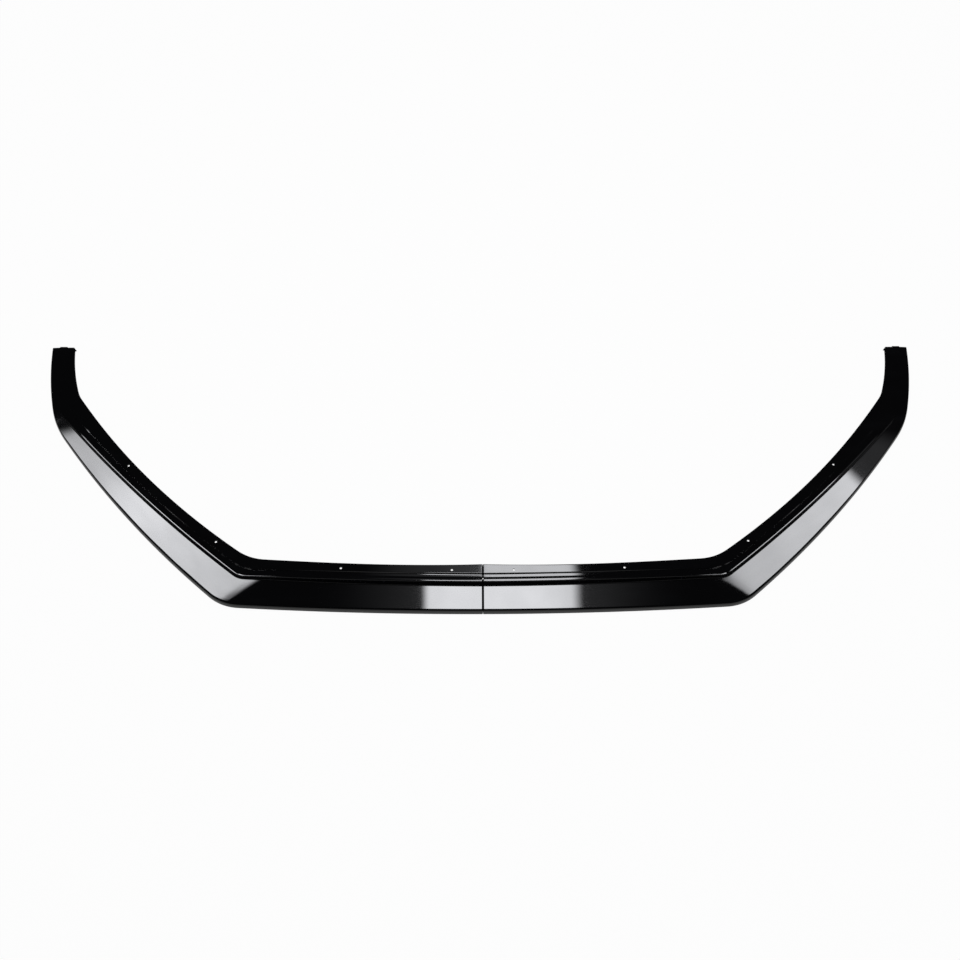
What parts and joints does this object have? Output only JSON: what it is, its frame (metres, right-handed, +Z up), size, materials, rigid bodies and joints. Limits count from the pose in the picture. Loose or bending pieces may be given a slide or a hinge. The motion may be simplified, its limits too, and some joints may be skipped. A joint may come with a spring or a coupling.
{
  "type": "front splitter lip",
  "caption": "Gloss black front splitter lip moulded in two mirrored halves, with a raised flange for screws, a forward riser, a sloping blade, swept wings and upturned tips.",
  "frame": {"origin": "centre of the bounding box at the level of the lower edge, on the centre line of the seam", "axes": "+X across the vehicle to the right as seen from in front and above, -Y towards the nose, +Y towards the tips, +Z up"},
  "size_m": [1.7498, 0.5985, 0.0386],
  "materials": {
    "gloss_black": "gloss black"
  },
  "bodies": {
    "root": {"left_half": "gloss_black", "right_half": "gloss_black"}
  },
  "joints": []
}
